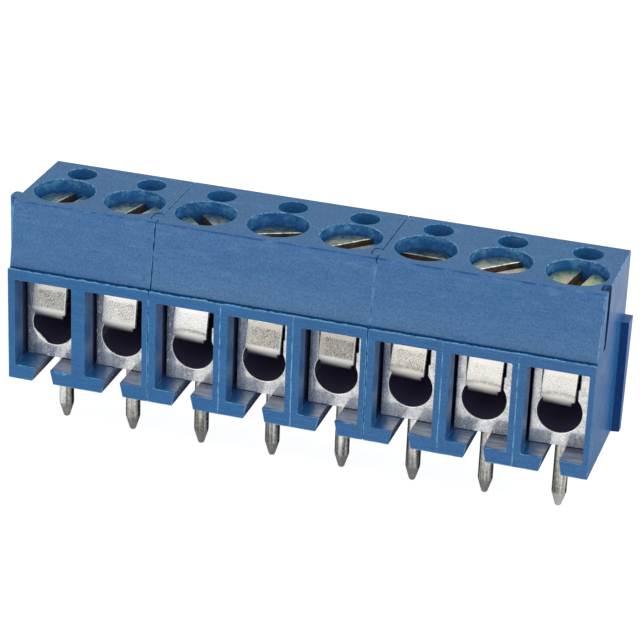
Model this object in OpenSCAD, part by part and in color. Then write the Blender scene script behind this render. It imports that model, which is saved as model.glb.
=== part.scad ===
// Screw terminal block for circuit boards: eight poles in three interlocking
// housing modules (two, three and three poles). Each pole holds a plated clamp
// block with a round wire hole, a bent wire guard, a slotted clamp screw and a
// round solder pin. X runs along the row, the wire openings face -Y, and Z = 0
// is the face that sits on the board. The pin row lies on Y = 0.

/* [Row] */
// Distance between neighbouring poles
pitch = 5; // [4.9:0.02:5.2]
// Gap left on each side of a module where two modules meet
seam = 0.03; // [0.02:0.01:0.06]

/* [Housing] */
// Height of the housing above the board
height = 12.5; // [12.3:0.1:13.5]
// Front plane, measured from the pin row
front = 4; // [3.8:0.05:4.4]
// Back face, measured from the pin row
back = 4.8; // [4.75:0.05:5.4]
// Height of the shelf where the front face steps back
shelf_z = 8.05; // [7.9:0.05:8.3]
// Depth of that shelf
shelf_step = 0.4; // [0.3:0.05:0.6]
// How far the upper front face leans back up to the top
lean = 0.82; // [0.6:0.02:1]

/* [Wire openings] */
// Width of a wire opening
win_w = 4.05; // [3.95:0.05:4.15]
// Offset of an opening from its pole, along the row
win_dx = 0.045; // [0:0.005:0.05]
// Thickness of the floor under an opening
sill = 1.05; // [0.95:0.05:1.15]
// Height of the opening's upper edge
lintel_z = 7.3; // [7.25:0.05:7.5]
// Back wall of the chamber, measured from the pin row
chamber_back = 3.05; // [3:0.05:3.1]
// Width of the floor slot at the top of the floor
slot_top = 1.04; // [1.02:0.02:1.1]
// Width of the floor slot at the underside
slot_low = 1.5; // [1.3:0.05:1.7]
// End of the floor slot behind the pin row
slot_end = 0.56; // [0.54:0.02:0.7]

/* [Screw wells and probe holes] */
// Radius of a screw well
well_r = 2.05; // [2:0.05:2.1]
// Height of the shoulder at the bottom of a well
well_floor = 8.4; // [8.2:0.1:8.6]
// Radius of the hole below the shoulder
well_neck_r = 1.7; // [1.6:0.05:1.8]
// Radius of a test probe hole
probe_r = 1; // [0.9:0.05:1]
// Probe holes behind the pin row
probe_y = 3.15; // [3.15:0.05:3.3]

/* [Interlock] */
// Length of the dovetail tongue on a left end
tongue_out = 0.52; // [0.4:0.02:0.54]
// Length of the rear rib on a right end
rib_out = 0.52; // [0.4:0.02:0.54]
// Clearance around tongue and rib in their grooves
lock_gap = 0.05; // [0.03:0.01:0.06]

/* [Clamp block] */
// Width of the metal block
block_w = 3.86; // [3.8:0.02:3.9]
// Front face of the block, measured from the pin row
block_front = 1.95; // [1.9:0.05:2]
// Back face of the block, measured from the pin row
block_back = 2.95; // [2.8:0.05:2.95]
// Height of the block's top above the board
block_top = 7.2; // [7.1:0.05:7.25]
// Radius of the wire hole
wire_r = 1.475; // [1.45:0.005:1.5]
// Height of the wire hole's axis above the board
wire_z = 3.45; // [3.4:0.05:3.5]
// Radius of the screw hole, at the thread's outer diameter
bore_r = 1.5; // [1.49:0.01:1.55]
// Width of the guard's slot next to the wire hole
guide_w = 2.56; // [2.5:0.02:2.6]
// Width of the guard's slot further up
guide_w_top = 2.9; // [2.8:0.02:3]
// Height of the step between the two slot widths
guide_step_z = 5.2; // [5.15:0.05:5.4]
// Depth of the upper part of that slot
guide_depth = 0.5; // [0.4:0.05:0.5]

/* [Wire guard] */
// Width of the leaf
guard_w = 2.36; // [2.3:0.02:2.4]
// Thickness of the leaf
guard_t = 0.35; // [0.3:0.01:0.36]
// Front surface of the leaf, measured from the pin row
guard_front = 2.25; // [2.2:0.05:2.3]
// Height of the leaf from its underside to its top edge
guard_h = 2.8; // [2.6:0.05:2.8]
// Outer radius of the bend
bend_r = 0.65; // [0.55:0.05:0.7]
// End of the lower limb behind the pin row
guard_tail = 0.95; // [0.8:0.05:0.95]

/* [Clamp screw] */
// Radius of the head
head_r = 1.9; // [1.8:0.02:1.92]
// Height of the head
head_h = 1.7; // [1.5:0.05:1.8]
// Radius of the shank, at the thread's outer diameter
shank_r = 1.45; // [1.43:0.01:1.46]
// Length of the screw from the top of the head to its tip
screw_len = 7.4; // [7:0.05:7.4]
// Width of the driver slot
drive_w = 0.85; // [0.7:0.05:0.9]
// Depth of the driver slot
drive_d = 0.8; // [0.6:0.05:0.9]

/* [Solder pin] */
// Radius of the pin
pin_r = 0.5; // [0.45:0.05:0.5]
// Length of the pin below the board face
pin_len = 4.4; // [3.5:0.1:5]
// Length of the tapered end
pin_taper = 1.05; // [0.8:0.05:1.2]
// Radius at the end of the taper
pin_tip_r = 0.26; // [0.2:0.02:0.3]

/* [Hidden] */
$fn = 96;
poles = 8;
left_x = -poles * pitch / 2;
blue = [0.16, 0.37, 0.64];
tin = [0.80, 0.81, 0.80];
leaf = [0.86, 0.85, 0.82];
yellow_zinc = [0.68, 0.66, 0.44];
pin_metal = [0.70, 0.69, 0.66];

// depth of each screw head below the top of the housing
head_depth = [0.83, 0.78, 0.80, 0.86, 0.64, 0.88, 0.58, 0.62];
// direction of each driver slot, in degrees from the row
drive_angle = [76, 75, -48, 26, 47, -2, 45, 80];
// height of each guard's underside above the board
guard_z = [3.87, 3.83, 3.85, 3.85, 3.85, 3.76, 3.68, 3.80];
// what each pin is longer or shorter than the nominal length
pin_more = [-0.2, 0, 0.1, 0, 0, 0, 0, 0];

function pole_x(k) = left_x + (k + 0.5) * pitch;

// a profile drawn in Y and Z, carried along X
module along_x(length) {
  rotate([90, 0, 90]) linear_extrude(length) children();
}

// a profile drawn in X and Z, carried from y1 back towards -Y
module along_y(y1, length) {
  translate([0, y1, 0]) rotate([90, 0, 0]) linear_extrude(length) children();
}

// side profile of a housing: upright lower front, shelf, leaning upper front
module housing_profile() {
  polygon([
    [-front, 0], [-front, shelf_z], [-front + shelf_step, shelf_z],
    [-front + shelf_step + lean, height], [back, height], [back, 0]
  ]);
}

// wedge-shaped dovetail on the left end, near the top of the front.
// It points to -X from x = 0 and is widest at the top; g makes it larger.
module tongue(g, up) {
  y1 = -front + shelf_step + lean + 0.71;
  intersection() {
    translate([0, 0, shelf_z + 0.25 - g]) linear_extrude(height - shelf_z - 0.25 + g + up)
      polygon([
        [0.2, y1 - g], [0, y1 - g], [-tongue_out - g, y1 - 0.27 - g],
        [-tongue_out - g, y1 + 1.05 + g], [0, y1 + 0.73 + g], [0.2, y1 + 0.73 + g]
      ]);
    translate([-2, 0, 0]) along_x(4) polygon([
      [y1 - 0.6, height + up], [y1 + 1.05 + g, height + up], [y1 + 1.05 + g, height],
      [y1 + 0.1 + g, shelf_z + 0.25 - g], [y1 - 0.6, shelf_z + 0.25 - g]
    ]);
  }
}

// upright rib on the right end, near the back, narrower towards the board
module rib() {
  y1 = back - 1.3;
  intersection() {
    linear_extrude(shelf_z - 0.05)
      polygon([[-0.2, y1], [0, y1], [rib_out, y1 - 0.2], [rib_out, back - 0.15], [-0.2, back - 0.15]]);
    translate([-1, 0, 0]) along_x(3) polygon([
      [y1 - 0.5, 0], [y1 + 0.5, 0], [back - 0.15, shelf_z - 0.05], [y1 - 0.5, shelf_z - 0.05]
    ]);
  }
}

// groove on the left end that takes a neighbour's rib, open to the back and below
module rib_groove(g) {
  y1 = back - 1.3;
  translate([0, 0, -1]) linear_extrude(shelf_z + 1 + g)
    polygon([[-0.2, y1 - g], [0, y1 - g], [rib_out + g, y1 - 0.2 - g], [rib_out + g, back + 1], [-0.2, back + 1]]);
}

// everything that one pole takes out of its housing
module pole_cuts() {
  // chamber, open to the front
  translate([win_dx - win_w / 2, -front - 1, sill])
    cube([win_w, front + 1 + chamber_back, lintel_z - sill]);
  // screw well, its shoulder and the neck into the chamber
  translate([0, 0, well_floor]) cylinder(r = well_r, h = height);
  translate([0, 0, lintel_z - 0.2]) cylinder(r = well_neck_r, h = height);
  // test probe hole
  translate([0, probe_y, lintel_z - 0.05]) cylinder(r = probe_r, h = height);
  // floor slot for the pin, wider towards the board
  slope = (slot_low - slot_top) / sill;
  along_y(slot_end, front + slot_end + 1) polygon([
    [-slot_low / 2 - slope / 4, -0.5], [slot_low / 2 + slope / 4, -0.5],
    [slot_top / 2 - slope / 20, sill + 0.1], [-slot_top / 2 + slope / 20, sill + 0.1]
  ]);
}

// one housing module of n poles, starting at pole number first
module housing(first, n) {
  w = n * pitch;
  color(blue) translate([left_x + first * pitch, 0, 0]) difference() {
    union() {
      translate([seam, 0, 0]) along_x(w - 2 * seam) housing_profile();
      tongue(0, 0);
      translate([w, 0, 0]) rib();
    }
    for (i = [0 : n - 1]) translate([(i + 0.5) * pitch, 0, 0]) pole_cuts();
    translate([w, 0, 0]) tongue(lock_gap, 1);
    rib_groove(lock_gap);
  }
}

module housing_left_2pole() { housing(0, 2); }
module housing_middle_3pole() { housing(2, 3); }
module housing_right_3pole() { housing(5, 3); }

// plated metal block with wire hole, screw hole, guard slot and pin socket
module clamp_block(k) {
  color(tin) translate([pole_x(k), 0, 0]) difference() {
    translate([-block_w / 2, -block_front, sill])
      cube([block_w, block_front + block_back, block_top - sill]);
    translate([0, block_back + 1, wire_z]) rotate([90, 0, 0])
      cylinder(r = wire_r, h = block_front + block_back + 2);
    translate([0, -block_front + 0.1, wire_z]) rotate([90, 0, 0])
      cylinder(r1 = wire_r, r2 = wire_r + 0.12, h = 0.12);
    translate([0, 0, wire_z]) cylinder(r = bore_r, h = height);
    translate([-guide_w / 2, -block_front - 1, wire_z])
      cube([guide_w, block_front + 1, guide_step_z - wire_z]);
    translate([-guide_w_top / 2, -block_front - 1, guide_step_z])
      cube([guide_w_top, 1 + guide_depth, height]);
    translate([0, 0, sill - 0.5]) cylinder(r = pin_r - 0.02, h = 1.2);
  }
}

// thin leaf, bent back under the screw tip
module wire_guard(k) {
  color(leaf) translate([pole_x(k), 0, guard_z[k]]) intersection() {
    translate([-guard_w / 2, 0, 0]) along_x(guard_w) union() {
      translate([-guard_front, bend_r]) square([guard_t, guard_h - bend_r]);
      translate([-guard_front + bend_r, 0]) square([guard_front - bend_r + guard_tail, guard_t]);
      intersection() {
        translate([-guard_front + bend_r, bend_r]) difference() {
          circle(r = bend_r);
          circle(r = bend_r - guard_t);
        }
        translate([-guard_front, 0]) square([bend_r, bend_r]);
      }
    }
    along_y(guard_tail + 1, guard_front + guard_tail + 2) polygon([
      [-guard_w / 2, guard_h + 1], [guard_w / 2, guard_h + 1], [guard_w / 2, 0.55],
      [guard_w / 2 - 0.12, 0], [-guard_w / 2 + 0.12, 0], [-guard_w / 2, 0.55]
    ]);
  }
}

// slotted screw with a cylindrical head
module clamp_screw(k) {
  color(yellow_zinc)
    translate([pole_x(k), 0, height - head_depth[k] - screw_len]) rotate([0, 0, drive_angle[k]])
      difference() {
        rotate_extrude() polygon([
          [0, 0], [shank_r - 0.35, 0], [shank_r, 0.35], [shank_r, screw_len - head_h],
          [head_r - 0.1, screw_len - head_h], [head_r, screw_len - head_h + 0.1],
          [head_r, screw_len - 0.12], [head_r - 0.12, screw_len], [0, screw_len]
        ]);
        translate([-head_r - 1, -drive_w / 2, screw_len - drive_d])
          cube([2 * head_r + 2, drive_w, drive_d + 1]);
      }
}

// round pin with a tapered end, set into the underside of a clamp block
module solder_pin(k) {
  len = pin_len + pin_more[k];
  color(pin_metal) translate([pole_x(k), 0, 0]) rotate_extrude() polygon([
    [0, -len], [pin_tip_r - 0.1, -len], [pin_tip_r, -len + 0.08],
    [pin_r, -len + pin_taper], [pin_r, 0], [pin_r - 0.03, 0.7],
    [pin_r - 0.03, sill + 0.65], [0, sill + 0.65]
  ]);
}

housing_left_2pole();
housing_middle_3pole();
housing_right_3pole();
clamp_block(0);  // clamp_block_1
clamp_block(1);  // clamp_block_2
clamp_block(2);  // clamp_block_3
clamp_block(3);  // clamp_block_4
clamp_block(4);  // clamp_block_5
clamp_block(5);  // clamp_block_6
clamp_block(6);  // clamp_block_7
clamp_block(7);  // clamp_block_8
wire_guard(0);  // wire_guard_1
wire_guard(1);  // wire_guard_2
wire_guard(2);  // wire_guard_3
wire_guard(3);  // wire_guard_4
wire_guard(4);  // wire_guard_5
wire_guard(5);  // wire_guard_6
wire_guard(6);  // wire_guard_7
wire_guard(7);  // wire_guard_8
clamp_screw(0);  // clamp_screw_1
clamp_screw(1);  // clamp_screw_2
clamp_screw(2);  // clamp_screw_3
clamp_screw(3);  // clamp_screw_4
clamp_screw(4);  // clamp_screw_5
clamp_screw(5);  // clamp_screw_6
clamp_screw(6);  // clamp_screw_7
clamp_screw(7);  // clamp_screw_8
solder_pin(0);  // solder_pin_1
solder_pin(1);  // solder_pin_2
solder_pin(2);  // solder_pin_3
solder_pin(3);  // solder_pin_4
solder_pin(4);  // solder_pin_5
solder_pin(5);  // solder_pin_6
solder_pin(6);  // solder_pin_7
solder_pin(7);  // solder_pin_8
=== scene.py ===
import math

import bmesh
import bpy
import numpy as np
from mathutils import Matrix, Vector


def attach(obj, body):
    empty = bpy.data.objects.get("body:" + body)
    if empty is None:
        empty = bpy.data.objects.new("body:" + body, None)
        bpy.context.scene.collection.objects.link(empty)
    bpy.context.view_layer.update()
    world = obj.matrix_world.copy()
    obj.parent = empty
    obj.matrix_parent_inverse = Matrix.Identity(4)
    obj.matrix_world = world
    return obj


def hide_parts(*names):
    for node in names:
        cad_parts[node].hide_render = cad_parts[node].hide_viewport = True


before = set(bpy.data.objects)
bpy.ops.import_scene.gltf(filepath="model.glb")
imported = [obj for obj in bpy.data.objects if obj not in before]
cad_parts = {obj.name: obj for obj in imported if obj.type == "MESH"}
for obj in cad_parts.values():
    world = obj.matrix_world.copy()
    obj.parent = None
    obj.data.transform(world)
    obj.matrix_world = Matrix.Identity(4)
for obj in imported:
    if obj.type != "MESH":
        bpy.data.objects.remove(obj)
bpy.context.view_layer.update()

# ---------------------------------------------------------------- dimensions, in millimetres
POLES, PITCH, LEFT, SEAM = 8, 5.0, -20.0, 0.03
HEIGHT, FRONT, BACK = 12.5, 4.0, 4.8
SHELF, STEP, LEAN = 8.05, 0.4, 0.82
WIN_W, WIN_DX, SILL, LINTEL, CHAMBER = 4.05, 0.045, 1.05, 7.3, 3.05
SLOT_TOP, SLOT_LOW, SLOT_END = 1.04, 1.5, 0.56
WELL_R, WELL_FLOOR, NECK_R = 2.05, 8.4, 1.7
PROBE_R, PROBE_Y = 1.0, 3.15
LOCK, GAP = 0.52, 0.05
BLOCK_W, BLOCK_F, BLOCK_B, BLOCK_T = 3.86, 1.95, 2.95, 7.2
WIRE_R, WIRE_Z, BORE_R = 1.475, 3.45, 1.5
GUIDE_W, GUIDE_TOP, GUIDE_Z, GUIDE_D = 2.56, 2.9, 5.2, 0.5
GUARD_W, GUARD_T, GUARD_F, GUARD_H, BEND, TAIL = 2.36, 0.35, 2.25, 2.8, 0.65, 0.95
HEAD_R, HEAD_H, SHANK_R, SCREW_L, DRIVE_W, DRIVE_D = 1.9, 1.7, 1.45, 7.4, 0.85, 0.8
PIN_R, PIN_L, TAPER, TIP_R = 0.5, 4.4, 1.05, 0.26
HEAD_DEPTH = [0.83, 0.78, 0.80, 0.86, 0.64, 0.88, 0.58, 0.62]
DRIVE_DEG = [76, 75, -48, 26, 47, -2, 45, 80]
DRIVE_OFF = [0, 0, 0, 0.15, 0, 0.26, 0, 0]
# how strongly a painted highlight runs along each screw's slot edges
SLOT_EDGE_GLINT = [0.3, 0.4, 0.3, 0.8, 0.85, 0.15, 1.0, 0.4]
GUARD_Z = [3.87, 3.83, 3.85, 3.85, 3.85, 3.76, 3.68, 3.80]
PIN_MORE = [-0.2, 0, 0.1, 0, 0, 0, 0, 0]
MODULES = [("housing_left_2pole", 0, 2), ("housing_middle_3pole", 2, 3), ("housing_right_3pole", 5, 3)]


def pole_x(k):
    return LEFT + (k + 0.5) * PITCH


# ---------------------------------------------------------------- mesh helpers
def solid(name, verts, faces):
    """A closed mesh object, in millimetres, with its faces turned outwards."""
    me = bpy.data.meshes.new(name)
    bm = bmesh.new()
    vs = [bm.verts.new(tuple(map(float, v))) for v in verts]
    for f in faces:
        bm.faces.new([vs[i] for i in f])
    bmesh.ops.recalc_face_normals(bm, faces=bm.faces)
    bm.to_mesh(me)
    bm.free()
    ob = bpy.data.objects.new(name, me)
    bpy.context.scene.collection.objects.link(ob)
    return ob


def loft(name, rings):
    """Closed solid through rings that have the same number of points."""
    n = len(rings[0])
    verts = np.concatenate([np.asarray(r, float) for r in rings])
    faces = [tuple(range(n)), tuple(range((len(rings) - 1) * n, len(rings) * n))]
    for i in range(len(rings) - 1):
        for j in range(n):
            k = (j + 1) % n
            faces.append((i * n + j, i * n + k, (i + 1) * n + k, (i + 1) * n + j))
    return solid(name, verts, faces)


def revolve(name, profile, seg=96, at=(0, 0, 0), axis="Z"):
    """Closed solid of revolution from (r, h) points with r > 0."""
    a = np.linspace(0, 2 * math.pi, seg, endpoint=False)
    rings = []
    for r, h in profile:
        if axis == "Z":
            ring = np.stack([r * np.cos(a), r * np.sin(a), np.full(seg, h)], 1)
        else:
            ring = np.stack([r * np.cos(a), np.full(seg, h), r * np.sin(a)], 1)
        rings.append(ring + np.array(at))
    return loft(name, rings)


def rrect(w0, w1, h0, h1, r, n=3):
    """Rounded rectangle between the given limits, as (a, b) points."""
    pts = []
    for cx, cy, t0 in ((w1 - r, h1 - r, 0), (w0 + r, h1 - r, 90), (w0 + r, h0 + r, 180), (w1 - r, h0 + r, 270)):
        for i in range(n + 1):
            t = math.radians(t0 + 90 * i / n)
            pts.append((cx + r * math.cos(t), cy + r * math.sin(t)))
    return np.array(pts)


def boolean(base, cutters, op="DIFFERENCE", solver="MANIFOLD"):
    """Applies the cutters to the base and removes them."""
    for c in cutters:
        m = base.modifiers.new("b", "BOOLEAN")
        m.operation, m.object, m.solver = op, c, solver
    dg = bpy.context.evaluated_depsgraph_get()
    me = bpy.data.meshes.new_from_object(base.evaluated_get(dg))
    base.modifiers.clear()
    old = base.data
    base.data = me
    bpy.data.meshes.remove(old)
    for c in cutters:
        d = c.data
        bpy.data.objects.remove(c)
        bpy.data.meshes.remove(d)
    return base


def tidy(ob, dist=2e-4, flat=0.25):
    """Joins doubled points and merges faces that lie in one plane, so that flat faces shade flat."""
    bm = bmesh.new()
    bm.from_mesh(ob.data)
    bmesh.ops.remove_doubles(bm, verts=bm.verts, dist=dist)
    bmesh.ops.dissolve_degenerate(bm, edges=bm.edges, dist=dist)
    bmesh.ops.dissolve_limit(bm, angle_limit=math.radians(flat), verts=bm.verts, edges=bm.edges)
    bmesh.ops.recalc_face_normals(bm, faces=bm.faces)
    bm.to_mesh(ob.data)
    bm.free()


def bevel(ob, width, seg=2, angle=30):
    bm = bmesh.new()
    bm.from_mesh(ob.data)
    edges = [e for e in bm.edges if len(e.link_faces) == 2 and e.calc_face_angle(0) > math.radians(angle)]
    bmesh.ops.bevel(bm, geom=edges, offset=width, segments=seg, profile=0.5, affect="EDGES", clamp_overlap=True)
    bmesh.ops.recalc_face_normals(bm, faces=bm.faces)
    bm.to_mesh(ob.data)
    bm.free()


def finish_piece(ob, name, material, body, node, sharp=38, weighted=True):
    """Scales to metres, sets the shading and the material, ties the piece to its body, and hides the imported part of
    the same node.
    """
    ob.data.transform(Matrix.Scale(0.001, 4))
    ob.name = ob.data.name = name
    ob.data.shade_smooth()
    ob.data.set_sharp_from_angle(angle=math.radians(sharp))
    ob.data.materials.clear()
    ob.data.materials.append(material)
    if weighted:
        m = ob.modifiers.new("normals", "WEIGHTED_NORMAL")
        m.keep_sharp, m.weight, m.mode = True, 60, "FACE_AREA_WITH_ANGLE"
    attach(ob, body)
    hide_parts(node)
    return ob


# ---------------------------------------------------------------- material helpers
class Nodes:
    """Small helper around one material's node tree."""

    def __init__(self, name):
        self.m = bpy.data.materials.new(name)
        self.m.use_nodes = True
        self.t = self.m.node_tree
        self.t.nodes.clear()
        self.out = self.t.nodes.new("ShaderNodeOutputMaterial")
        self.bsdf = self.t.nodes.new("ShaderNodeBsdfPrincipled")
        self.t.links.new(self.bsdf.outputs[0], self.out.inputs[0])
        self.coord = self.t.nodes.new("ShaderNodeTexCoord")

    def link(self, a, b):
        self.t.links.new(a, b)

    def mm(self, scale=(1, 1, 1), shift=(0, 0, 0)):
        """Object coordinates in millimetres, stretched by scale."""
        n = self.t.nodes.new("ShaderNodeMapping")
        n.vector_type = "POINT"
        n.inputs["Scale"].default_value = [1000 * s for s in scale]
        n.inputs["Location"].default_value = shift
        self.link(self.coord.outputs["Object"], n.inputs["Vector"])
        return n.outputs[0]

    def noise(self, scale, detail=2, rough=0.5, stretch=(1, 1, 1), shift=(0, 0, 0), distort=0.0):
        n = self.t.nodes.new("ShaderNodeTexNoise")
        n.inputs["Scale"].default_value = scale
        n.inputs["Detail"].default_value = detail
        n.inputs["Roughness"].default_value = rough
        n.inputs["Distortion"].default_value = distort
        self.link(self.mm(stretch, shift), n.inputs["Vector"])
        return n.outputs["Fac"]

    def span(self, v, a, b, c=0.0, d=1.0):
        n = self.t.nodes.new("ShaderNodeMapRange")
        n.inputs["From Min"].default_value, n.inputs["From Max"].default_value = a, b
        n.inputs["To Min"].default_value, n.inputs["To Max"].default_value = c, d
        self.link(v, n.inputs["Value"])
        return n.outputs[0]

    def math(self, op, a, b):
        n = self.t.nodes.new("ShaderNodeMath")
        n.operation = op
        for i, v in enumerate((a, b)):
            if isinstance(v, (int, float)):
                n.inputs[i].default_value = v
            else:
                self.link(v, n.inputs[i])
        return n.outputs[0]

    def ramp(self, v, stops):
        n = self.t.nodes.new("ShaderNodeValToRGB")
        e = n.color_ramp.elements
        e[0].position, e[0].color = stops[0][0], (*stops[0][1], 1)
        e[1].position, e[1].color = stops[-1][0], (*stops[-1][1], 1)
        for p, c in stops[1:-1]:
            k = e.new(p)
            k.color = (*c, 1)
        self.link(v, n.inputs[0])
        return n.outputs["Color"]

    def mix(self, fac, a, b, kind="MIX"):
        n = self.t.nodes.new("ShaderNodeMix")
        n.data_type, n.blend_type = "RGBA", kind
        for s, v in ((n.inputs[0], fac), (n.inputs[6], a), (n.inputs[7], b)):
            if isinstance(v, tuple):
                s.default_value = (*v, 1)
            elif isinstance(v, (int, float)):
                s.default_value = v
            else:
                self.link(v, s)
        return n.outputs[2]

    def bump(self, height, dist_mm, strength=1.0, before=None):
        n = self.t.nodes.new("ShaderNodeBump")
        n.inputs["Strength"].default_value = strength
        n.inputs["Distance"].default_value = dist_mm * 0.001
        self.link(height, n.inputs["Height"])
        if before is not None:
            self.link(before, n.inputs["Normal"])
        return n.outputs[0]

    def normal(self):
        n = self.t.nodes.new("ShaderNodeNewGeometry")
        s = self.t.nodes.new("ShaderNodeSeparateXYZ")
        self.link(n.outputs["Normal"], s.inputs[0])
        return s.outputs

    def place(self):
        """Position on the piece in millimetres, as x, y and z."""
        s = self.t.nodes.new("ShaderNodeSeparateXYZ")
        self.link(self.mm(), s.inputs[0])
        return s.outputs

    def attribute(self, name):
        n = self.t.nodes.new("ShaderNodeAttribute")
        n.attribute_name = name
        return n.outputs["Fac"]

    def set(self, **kw):
        for k, v in kw.items():
            s = self.bsdf.inputs[k.replace("_", " ")]
            if isinstance(v, (int, float)):
                s.default_value = v
            elif isinstance(v, tuple):
                s.default_value = (*v, 1)
            else:
                self.link(v, s)


def plastic_material():
    """Moulded blue plastic: eroded matt on top, drawn lines on the front, smooth sills, pale flash and worn rims, both
    with a painted highlight; painted shade in the wells, the shelf groove, the undercuts, the chamber and along the
    top's back edge, and a painted reflection of the blocks on the sills.
    """
    n = Nodes("blue_plastic")
    cloud = n.noise(0.45, 3, 0.55)
    grain = n.noise(8.5, 2, 0.65)
    speck = n.noise(11.0, 1, 0.5, shift=(3.1, 1.7, 0.4))
    drawn = n.noise(1.0, 3, 0.6, stretch=(0.5, 7.0, 7.0))
    brushed = n.noise(1.0, 4, 0.7, stretch=(2.6, 3.0, 0.7), shift=(2, 2, 2))
    scuff = n.noise(1.0, 4, 0.7, stretch=(0.5, 1.0, 2.0), shift=(4, 9, 2))
    sill_streaks = n.noise(1.0, 3, 0.6, stretch=(0.9, 4.5, 4.5), shift=(6, 3, 1))
    fleck = n.noise(1.0, 4, 0.75, stretch=(1.4, 1.4, 1.9), shift=(3, 1, 6))
    nx, ny, nz = n.normal()
    x, y, z = n.place()
    top = n.span(nz, 0.75, 0.97)
    lean = n.math("MULTIPLY", n.span(nz, 0.10, 0.16), n.span(nz, 0.30, 0.22))
    low = n.span(z, 2.2, 1.3)
    high = n.math("MULTIPLY", top, n.span(low, 0, 1, 1, 0))
    inner, wells = n.attribute("inner"), n.attribute("well")
    end = n.math("MULTIPLY", n.span(n.math("ABSOLUTE", nx, 0), 0.9, 0.98), n.span(inner, 0, 1, 1, 0))
    base = n.ramp(cloud, [(0.3, (0.017, 0.108, 0.282)), (0.7, (0.023, 0.128, 0.325))])
    base = n.mix(n.math("MULTIPLY", lean, n.span(scuff, 0.35, 0.65, 0.45, 0.85)), base, (0.053, 0.147, 0.318))
    pale = n.math("MULTIPLY", n.span(z, 10.4, 8.3, 0.0, 0.5), n.span(x, -13.0, -8.0, 0.15, 1.0))
    base = n.mix(n.math("MULTIPLY", lean, pale), base, (0.092, 0.195, 0.345))
    base = n.mix(n.math("MULTIPLY", n.span(ny, -0.97, -0.99), n.span(x, -8.0, 12.0, 0.0, 0.45)), base, (0.036, 0.116, 0.275))
    base = n.mix(n.math("MULTIPLY", high, 0.62), base, (0.062, 0.158, 0.310))
    grainy = n.ramp(grain, [(0.30, (0.62, 0.68, 0.75)), (0.5, (1.0, 1.0, 1.0)), (0.72, (1.50, 1.34, 1.21))])
    base = n.mix(0.9, base, grainy, "MULTIPLY")
    lined = n.ramp(drawn, [(0.36, (0.80, 0.85, 0.90)), (0.66, (1.22, 1.15, 1.09))])
    base = n.mix(n.math("MULTIPLY", n.span(n.math("MAXIMUM", top, end), 0, 1, 0.9, 0.0), n.span(lean, 0, 1, 1.0, 0.5)), base, lined, "MULTIPLY")
    streaks = n.ramp(brushed, [(0.36, (0.60, 0.74, 0.84)), (0.66, (1.60, 1.35, 1.18))])
    base = n.mix(n.math("MULTIPLY", end, 0.55), base, (0.012, 0.140, 0.420))
    base = n.mix(n.math("MULTIPLY", end, 0.9), base, streaks, "MULTIPLY")
    worn = n.math("MULTIPLY", n.span(scuff, 0.54, 0.74, 0, 0.55), n.span(z, 9.6, 12.3))
    base = n.mix(worn, base, (0.095, 0.220, 0.400))
    # painted shade: the well walls turn darker and deeper blue further down
    base = n.mix(n.math("MULTIPLY", wells, n.span(z, 12.3, 9.5, 0.45, 0.9)), base, (0.002, 0.076, 0.278))
    # painted highlight: pale mottled flecks on the upper part of the well walls
    rim = n.math("MULTIPLY", wells, n.math("MULTIPLY", n.span(z, 11.3, 12.4), n.span(fleck, 0.46, 0.68, 0.0, 0.72)))
    base = n.mix(rim, base, (0.140, 0.390, 0.590))
    # painted shade: a dark blue band on the top along its back edge
    base = n.mix(n.math("MULTIPLY", high, n.span(y, BACK - 0.17, BACK - 0.05, 0.0, 0.75)), base, (0.003, 0.080, 0.270))
    # worn rims with a painted highlight: pale blue on the small rounded edges
    edge_wear_and_highlight = n.math("MULTIPLY", n.attribute("edge"), n.span(n.noise(1.6, 3, 0.6, shift=(7, 2, 5)), 0.38, 0.60, 0.0, 0.88))
    base = n.mix(edge_wear_and_highlight, base, (0.145, 0.390, 0.590))
    # darker blue on the crest faces: along the top's front edge, and along its back edge as painted shade
    base = n.mix(n.math("MULTIPLY", n.attribute("crest"), n.span(scuff, 0.4, 0.62, 0.98, 0.45)), base, (0.001, 0.062, 0.250))
    # pale lips, parting ridges and seams, real burrs with a painted highlight, and a painted highlight on the hole rims
    base = n.mix(n.math("MULTIPLY", n.attribute("flash_and_glint"), n.span(n.noise(5.0, 2, 0.6, shift=(1, 2, 9)), 0.42, 0.62, 0.0, 0.9)), base, (0.150, 0.400, 0.580))
    # painted shade: deeper blue in the sunk line of the shelf
    base = n.mix(n.math("MULTIPLY", n.attribute("groove"), n.span(grain, 0.3, 0.7, 1.0, 0.85)), base, (0.008, 0.110, 0.340))
    # painted shade: dark navy in the undercuts of the interlock and on the slot walls
    base = n.mix(n.math("MULTIPLY", n.attribute("deep"), n.span(grain, 0.3, 0.7, 1.0, 0.88)), base, (0.004, 0.026, 0.125))
    # painted shade: the chamber walls turn a dark greyish violet towards the back
    base = n.mix(n.math("MULTIPLY", inner, n.span(y, -2.0, 2.6, 0.0, 0.97)), base, (0.055, 0.046, 0.105))
    # painted shade: a dull violet grey on the chamber walls beside the clamp block
    beside = n.math("MULTIPLY", n.math("MULTIPLY", inner, n.span(n.math("ABSOLUTE", nx, 0), 0.9, 0.98)), n.math("MULTIPLY", n.span(y, -3.0, -2.6), n.span(y, -1.2, -1.9)))
    base = n.mix(n.math("MULTIPLY", beside, 0.8), base, (0.125, 0.098, 0.215))
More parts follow.
